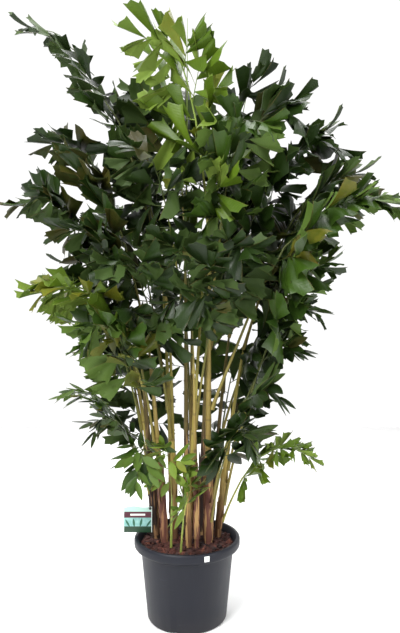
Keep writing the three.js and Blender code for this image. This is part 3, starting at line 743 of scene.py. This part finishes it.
def make_oval(name, seed, width, droop):
    """A leaflet of a young shoot, 1 long on +X: a whole, pointed oval."""
    draw = random.Random(seed)
    bpy.ops.mesh.primitive_grid_add(x_subdivisions=LEAF_ROWS + 2, y_subdivisions=4, size=1)
    leaf = new_object()
    leaf.name = name
    fold = draw.uniform(0.1, 0.5)
    sweep = draw.uniform(-0.12, 0.12)
    for vertex in leaf.data.vertices:
        along = vertex.co.x + 0.5
        swell = math.sin(math.pi * min(along, 0.985) ** 0.85) ** 0.8 + 0.03
        side = vertex.co.y * width * swell
        vertex.co = (along, side + sweep * along ** 2, -abs(side) * fold - droop * along ** 2)
    apply_modifier(leaf, "SOLIDIFY", thickness=LEAF_THICKNESS, offset=0)
    return take_template(leaf)


def make_leaflets():
    """The leaflets' families: broad fans, the narrow ones of young fronds and the ovals low down."""
    draw = random.Random(900)
    fans, narrow, ovals = [], [], []
    for seed in range(10):
        fans.append(make_leaflet(
            f"fan_{seed}", seed, lean=draw.uniform(0.6, 1.3), fold=draw.uniform(0.05, 0.45),
            droop=draw.uniform(0.04, 0.38), width=draw.uniform(0.36, 0.6),
        ))
    for seed in range(6):
        narrow.append(make_leaflet(
            f"narrow_{seed}", 20 + seed, lean=draw.uniform(0.6, 1.0), fold=draw.uniform(0.1, 0.5),
            droop=draw.uniform(0.02, 0.2), width=draw.uniform(0.22, 0.4),
        ))
        ovals.append(make_oval(f"oval_{seed}", 40 + seed, draw.uniform(0.34, 0.46), draw.uniform(0.05, 0.35)))
    return {"fan": fans, "narrow": narrow, "oval": ovals}


def place_leaflet(growth, kinds, draw, foot, heading, facing, length, look):
    """Grows one leaflet on a twig, turned up to the light and a little about its own line."""
    heading = unit(heading)
    facing = facing + np.array([0, 0, 0.5])
    side = unit(np.cross(facing, heading))
    facing = np.cross(heading, side)
    roll = math.radians(draw.gauss(0, 17))
    side, facing = (
        side * math.cos(roll) + facing * math.sin(roll),
        facing * math.cos(roll) - side * math.sin(roll),
    )
    mirror = look["mirror"]
    turn = np.stack([heading, side * mirror, facing * mirror]) * length
    template = draw.choice(kinds[look["family"]])
    points = template.points @ turn + foot
    tint = min(1.0, max(0.0, draw.gauss(look["tint"], 0.2)))
    age = look["age"] if draw.random() < look["aged"] else 0.0
    growth.add(template, points, 1, tint=tint, age=age)


def grow_pinna(growth, kinds, twig, twig_uv, draw, blade, look):
    """A pinna: a twig along the blade, side leaflets in turn on its two sides and a pair at its end."""
    up = blade.normal
    across = blade.across
    length = blade.length
    stem = length * TWIG_SHARE
    sag = np.array([0, 0, -1.0]) * length * draw.uniform(0.02, 0.07)
    shares = np.linspace(0, 1, TWIG_RINGS)
    path = blade.root + np.outer(shares * stem, blade.axis) + np.outer(shares ** 2, sag)
    radii = np.interp(shares, [0, 1], [1.7 * MM, 0.8 * MM]) * (0.6 + length * 2.2)
    growth.add(twig, along_path(twig, path, radii), 0, uvs=twig_uv)
    count = 4 if length > 0.12 else 3
    first_side = 1 if draw.random() < 0.5 else -1
    for k in range(count):
        share = 0.2 + 0.74 * (k + draw.uniform(-0.2, 0.2)) / count
        foot = blade.root + blade.axis * stem * share + sag * share ** 2
        way = first_side * (1 if k % 2 else -1)
        angle = math.radians(56 - 26 * share + draw.uniform(-11, 11))
        heading = blade.axis * math.cos(angle) + across * way * math.sin(angle)
        heading = heading - np.array([0, 0, 1.0]) * draw.uniform(0.0, 0.55)
        size = length * draw.uniform(0.46, 0.72) * look["reach"]
        place_leaflet(growth, kinds, draw, foot, heading, up, size, {**look, "mirror": -way})
    tip = path[-1]
    for way, angle, reach in ((1, 13, 0.60), (-1, 22, 0.52)):
        heading = blade.axis * math.cos(math.radians(angle)) + across * way * math.sin(math.radians(angle))
        heading = heading - np.array([0, 0, 1.0]) * draw.uniform(0.0, 0.25)
        size = length * reach * draw.uniform(0.9, 1.05)
        place_leaflet(growth, kinds, draw, tip, heading, up, size, {**look, "mirror": -way})


FROND_LOOKS = {
    "leaf_dark": {"tint": 0.30, "age": 0.5, "aged": 0.03, "family": "fan", "reach": 1.0},
    "leaf_mid": {"tint": 0.45, "age": 0.5, "aged": 0.03, "family": "fan", "reach": 1.0},
    "leaf_light": {"tint": 0.5, "age": 0.3, "aged": 0.05, "family": "narrow", "reach": 1.15},
}
OVAL_FRONDS = (
    "frond_left_low", "frond_left_spray", "frond_label_side", "frond_right_low", "frond_right_fall",
    "frond_sucker_1", "frond_sucker_2", "frond_right_hip",
)
AGEING = {  # how far and how often the leaflets of some fronds have turned
    "frond_left_pale": (0.4, 0.3), "frond_left_fall": (0.4, 0.15), "frond_left_shoulder": (0.35, 0.4),
    "frond_left_high": (0.3, 0.3), "frond_left_reach": (0.35, 0.2), "frond_right_arm": (0.4, 0.35),
    "frond_right_reach": (0.4, 0.12), "frond_right_waist": (0.3, 0.2),
}


def grow_frond(node, slot, kinds, stalk, twig, materials, seed):
    """A whole frond in place of its CAD solid."""
    draw = random.Random(seed)
    points, triangles = welded(node)
    blades = find_blades(points, triangles)
    line, radius = find_stalk(points, blades)
    growth = Growth()
    path = smooth_path(line, STALK_RINGS)
    shares = np.linspace(0, 1, STALK_RINGS)
    radii = radius * (1.0 - 0.66 * shares) * (1 + 0.55 * np.exp(-shares * 26))
    if not blades:
        radii = radius * (1.15 - 0.85 * shares) * (1 + 0.5 * np.sin(math.pi * shares) ** 2)
    growth.add(stalk, along_path(stalk, path, radii), 0, uvs=tube_uvs(stalk))
    look = dict(FROND_LOOKS[slot])
    if node in AGEING:
        look["age"], look["aged"] = AGEING[node]
    if node in OVAL_FRONDS:
        look["family"] = "oval"
    twig_uv = tube_uvs(twig) * (1, 0.2) + (0, 0.8)
    for blade in blades:
        grow_pinna(growth, kinds, twig, twig_uv, draw, blade, look)
    piece = growth.finish(f"{node}_leaves" if blades else f"{node}_rolled", materials)
    stand_in(piece, slot, node)


# ---------- Canes ----------

def cane_line(node):
    """A cane's centre line as curves of height, with its radius."""
    points, _ = welded(node)
    heights = points[:, 2]
    centre = [np.polyfit(heights, points[:, k], 2) for k in range(2)]
    middle = np.stack([np.polyval(fit, heights) for fit in centre], axis=1)
    away = np.linalg.norm(points[:, :2] - middle, axis=1)
    rim = away > 0.5 * away.max()
    radius = np.polyfit(heights[rim], away[rim], 1)
    return centre, radius, heights.min(), heights.max()


def grow_cane(node, slot, tube, sleeve, material, seed):
    """A ringed cane with papery sheaths that overlap round its lower part."""
    draw = random.Random(seed)
    centre, radius, low, high = cane_line(node)
    heights = np.linspace(low + 30 * MM, high, CANE_RINGS)
    path = np.stack([np.polyval(centre[0], heights), np.polyval(centre[1], heights), heights], axis=1)
    spacing = draw.uniform(95, 140) * MM
    start = draw.uniform(0, 1)
    phase = ((heights - low) / spacing + start) % 1.0
    ring = np.exp(-((phase - 0.5) / 0.075) ** 2)
    thick = np.polyval(radius, heights) * (0.96 - 0.2 * np.clip((heights - 0.45) / 0.5, 0, 1))
    lower = np.clip(1.0 - (heights - 0.25) / 0.4, 0, 1)
    radii = thick * (0.90 + 0.05 * ring + 0.14 * lower * (1 - phase))
    radii *= 1 - 0.22 * np.clip((heights - (high - 60 * MM)) / (60 * MM), 0, 1)
    growth = Growth()
    points = along_path(tube, path, radii)
    wobble = np.array([math.sin(p[0] * 900 + p[2] * 14) * math.cos(p[1] * 900) for p in points])
    growth.add(tube, points + wobble[:, None] * (0.35 * MM), 0, uvs=ringed_uvs(tube, phase))
    for k in range(3 if slot != "leaf_light" else 0):
        foot = SHEATH_FOOT + SHEATH_SPACING * k + draw.uniform(0, 0.03)
        add_sheath(growth, draw, centre, radius, foot, sleeve)
    piece = growth.finish(f"{node}_stem", [material])
    stand_in(piece, slot, node)


def ringed_uvs(tube, phase):
    uvs = tube_uvs(tube)
    rings = np.rint(uvs[:, 1] * (CANE_RINGS - 1)).astype(int)
    return np.stack([uvs[:, 0], phase[rings]], axis=1)


def add_sheath(growth, draw, centre, radius, foot, sleeve):
    """A papery sleeve round a cane, wider and torn at its top."""
    length = draw.uniform(55, 100) * MM
    heights = foot + np.linspace(0, length, SHEATH_RINGS)
    path = np.stack([np.polyval(centre[0], heights), np.polyval(centre[1], heights), heights], axis=1)
    flare = np.linspace(1.02, 1.22, SHEATH_RINGS)
    radii = np.polyval(radius, heights) * flare
    points = along_path(sleeve, path, radii)
    turn = np.arctan2(sleeve.points[:, 1], sleeve.points[:, 0])
    torn = np.clip(sleeve.points[:, 2] - 0.55, 0, 1) * length
    points[:, 2] += torn * np.sin(turn * draw.choice((2, 3)) + draw.uniform(0, math.tau)) * 1.1
    growth.add(sleeve, points, 0, uvs=sleeve.uvs * (1, 0) + (0, 0.1))


def make_sheath():
    """An open sleeve with a thin wall, along Z from 0 to 1 with a radius of 1."""
    bpy.ops.mesh.primitive_circle_add(vertices=SHEATH_SIDES, radius=1, fill_type="NOTHING", calc_uvs=True)
    sleeve = new_object()
    bpy.ops.object.mode_set(mode="EDIT")
    for _ in range(SHEATH_RINGS - 1):
        step = {"value": (0, 0, 1 / (SHEATH_RINGS - 1))}
        bpy.ops.mesh.extrude_region_move(TRANSFORM_OT_translate=step)
    bpy.ops.mesh.select_all(action="SELECT")
    bpy.ops.mesh.normals_make_consistent(inside=False)
    bpy.ops.object.mode_set(mode="OBJECT")
    apply_modifier(sleeve, "SOLIDIFY", thickness=0.09, offset=1)
    return take_template(sleeve)


# ---------- The pot and its bark ----------

POT_PROFILE = (
    # radius and height of each ring, from the centre pad out, up the wall, over the rim and down inside
    (30, 0), (32, 9), (113, 9), (115, 0), (127, 0), (131, 1.6), (134.2, 7), (156.6, 226), (158.4, 230),
    (162, 233), (172, 237.5), (176.5, 240), (179, 243.5), (180, 248), (180, 261), (179, 266), (176.3, 269.1),
    (172, 270), (169, 269.2), (166.5, 265.6), (163, 256), (154, 234), (131.4, 12.2),
)


def make_pot(material):
    low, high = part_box("pot")
    stretch = (high.z - low.z) / 0.270
    radius, height = POT_PROFILE[0]
    foot = (0, 0, height * MM)
    bpy.ops.mesh.primitive_circle_add(vertices=128, radius=radius * MM, location=foot, fill_type="NGON")
    pot = new_object()
    pot.name = "pot_shell"
    bpy.ops.object.mode_set(mode="EDIT")
    for next_radius, next_height in POT_PROFILE[1:]:
        rise = (next_height - height) * MM * stretch
        bpy.ops.mesh.extrude_region_move(TRANSFORM_OT_translate={"value": (0, 0, rise)})
        grow = next_radius / radius
        bpy.ops.transform.resize(value=(grow, grow, 1), center_override=(0, 0, next_height * MM))
        radius, height = next_radius, next_height
    bpy.ops.mesh.select_all(action="SELECT")
    bpy.ops.mesh.normals_make_consistent(inside=False)
    bpy.ops.object.mode_set(mode="OBJECT")
    settle(pot)
    cutters = []
    for k in range(3):
        angle = math.radians(-107 + 120 * k)
        cutters.append(add_cutter(angle, 121 * MM, -32 * MM, 41 * MM, 40 * MM, along=True))
    for k in range(6):
        angle = math.tau * (k + 0.5) / 6
        cutters.append(add_cutter(angle, 82 * MM, 0, 9 * MM, 60 * MM, along=False))
    for cutter in cutters:
        apply_modifier(pot, "BOOLEAN", operation="DIFFERENCE", object=cutter, solver="EXACT")
        bpy.data.objects.remove(cutter)
    sharp = math.radians(48)
    apply_modifier(pot, "BEVEL", width=0.7 * MM, segments=2, limit_method="ANGLE", angle_limit=sharp)
    smooth(pot, 35)
    pot.data.materials.append(material)
    stand_in(pot, "pot_plastic", "pot")


def add_cutter(angle, distance, height, radius, length, along):
    """A rod to cut with, lying outwards through the foot or standing through the floor."""
    place = (distance * math.cos(angle), distance * math.sin(angle), height)
    turn = (math.pi / 2, 0, angle + math.pi / 2) if along else (0, 0, 0)
    rod = {"vertices": 32, "radius": radius, "depth": length}
    bpy.ops.mesh.primitive_cylinder_add(location=place, rotation=turn, **rod)
    cutter = new_object()
    settle(cutter)
    return cutter


def make_chip(name, seed):
    """A splinter of bark: a box with a rough, uneven shape."""
    draw = random.Random(seed)
    bpy.ops.mesh.primitive_cube_add(size=1)
    chip = new_object()
    chip.name = name
    bpy.ops.object.mode_set(mode="EDIT")
    bpy.ops.mesh.subdivide(number_cuts=1)
    bpy.ops.object.mode_set(mode="OBJECT")
    for vertex in chip.data.vertices:
        squeeze = 1 - 0.45 * abs(vertex.co.x) * draw.uniform(0.6, 1.4)
        vertex.co.y *= squeeze
        vertex.co.z *= 0.36 * squeeze
        vertex.co += Vector([draw.uniform(-0.07, 0.07) for _ in range(3)])
    bpy.ops.object.select_all(action="DESELECT")
    return take_template(chip)


def scatter_bark(material, canes):
    """Chips lying on the substrate, clear of the canes and inside the rim."""
    draw = random.Random(77)
    low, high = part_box("substrate")
    reach = (high.x - low.x) / 2
    chips = [make_chip(f"chip_{k}", 300 + k) for k in range(6)]
    growth = Growth()
    feet = [(np.polyval(c[0], 0.255), np.polyval(c[1], 0.255), np.polyval(r, 0.255)) for c, r in canes]
    placed = 0
    while placed < CHIP_COUNT:
        angle = draw.uniform(0, math.tau)
        distance = reach * math.sqrt(draw.random()) * 0.985
        x, y = distance * math.cos(angle), distance * math.sin(angle)
        size = draw.uniform(*CHIP_SIZE) * (0.75 if distance > 0.9 * reach else 1)
        if any(math.hypot(x - fx, y - fy) < fr + size * 0.35 for fx, fy, fr in feet):
            continue
        if distance + size * 0.5 > reach:
            continue
        ground = high.z - 7 * MM * (distance / reach) ** 1.5
        spin = Matrix.Rotation(draw.uniform(0, math.tau), 3, "Z")
        tilt = Matrix.Rotation(draw.gauss(0, 0.38), 3, "X") @ Matrix.Rotation(draw.gauss(0, 0.3), 3, "Y")
        turn = np.array(spin @ tilt).T * np.array([[size], [size * draw.uniform(0.4, 0.8)], [size * 0.8]])
        centre = (x, y, ground + draw.uniform(0.0, 5.5) * MM)
        chip = chips[draw.randrange(len(chips))]
        growth.add(chip, chip.points @ turn + centre, 0)
        placed += 1
    piece = growth.finish("bark_chips", [material], angle=25)
    stand_in(piece, "bark")


def dress(node, material):
    """Gives a CAD node that stays its finish."""
    mesh = NODES[node].data
    mesh.materials.clear()
    mesh.materials.append(material)


# ---------- Assembly ----------

make_camera()
make_studio()

bpy.ops.mesh.primitive_plane_add(size=FLOOR_SIZE)
floor = new_object()
floor.name = "floor"
floor.data.materials.append(plain_material("floor_paint", srgb(253, 253, 253), 0.8, 3, 0.01 * MM))

SLOTS = {part["node"]: part["material_slot"] for part in frame["record"]["subparts"]}
LEAF_SKINS = {
    "leaf_dark": leaf_material(
        "leaf_dark", srgb(14, 27, 7), srgb(40, 62, 15), srgb(58, 78, 30), srgb(66, 58, 22), 0.40),
    "leaf_mid": leaf_material(
        "leaf_mid", srgb(24, 43, 9), srgb(56, 82, 18), srgb(84, 108, 42), srgb(100, 94, 28), 0.41),
    "leaf_light": leaf_material(
        "leaf_light", srgb(50, 73, 12), srgb(88, 112, 24), srgb(112, 134, 50), srgb(118, 112, 32), 0.42),
}
GREEN_STALK = stalk_material("stalk_green", srgb(134, 120, 56), srgb(98, 104, 40), srgb(56, 72, 26))
PALE_STALK = stalk_material("stalk_pale", srgb(160, 152, 76), srgb(128, 144, 54), srgb(104, 128, 42))
CANE_SKINS = {
    "cane_brown": cane_material(
        "cane_brown", srgb(44, 27, 19), srgb(112, 88, 46), srgb(104, 102, 44), 0.62),
    "cane_pink": cane_material(
        "cane_pink", srgb(96, 56, 44), srgb(150, 122, 66), srgb(122, 118, 52), 0.50),
    "cane_yellow": cane_material(
        "cane_yellow", srgb(98, 66, 38), srgb(164, 142, 70), srgb(128, 130, 54), 0.42),
    "leaf_light": cane_material(
        "shoot_green", srgb(120, 128, 60), srgb(132, 148, 62), srgb(122, 144, 56), 0.27),
}
STALK = make_tube("stalk", STALK_SIDES, STALK_RINGS)
TWIG = make_tube("twig", TWIG_SIDES, TWIG_RINGS)
CANE = make_tube("cane", CANE_SIDES, CANE_RINGS)
SLEEVE = make_sheath()
LEAFLETS = make_leaflets()

make_pot(pot_material())
dress("substrate", bark_material("bark_bed"))
cane_nodes = sorted(name for name in NODES if name.startswith(("cane_", "sucker_")))
scatter_bark(bark_material("bark"), [cane_line(name)[:2] for name in cane_nodes])
dress("care_label", card_material())
dress("label_strap", plain_material("strap_rubber", srgb(30, 25, 22), 0.5, 600, 0.1 * MM))
dress("rim_sticker", plain_material("sticker_paper", srgb(238, 240, 238), 0.55, 800, 0.03 * MM))

for number, name in enumerate(cane_nodes):
    grow_cane(name, SLOTS[name], CANE, SLEEVE, CANE_SKINS[SLOTS[name]], 40 + number)

for number, name in enumerate(sorted(n for n in NODES if n.startswith(("frond_", "spear_")))):
    slot = SLOTS[name]
    stalk_skin = PALE_STALK if slot == "leaf_light" else GREEN_STALK
    grow_frond(name, slot, LEAFLETS, STALK, TWIG, [stalk_skin, LEAF_SKINS[slot]], 100 + number)
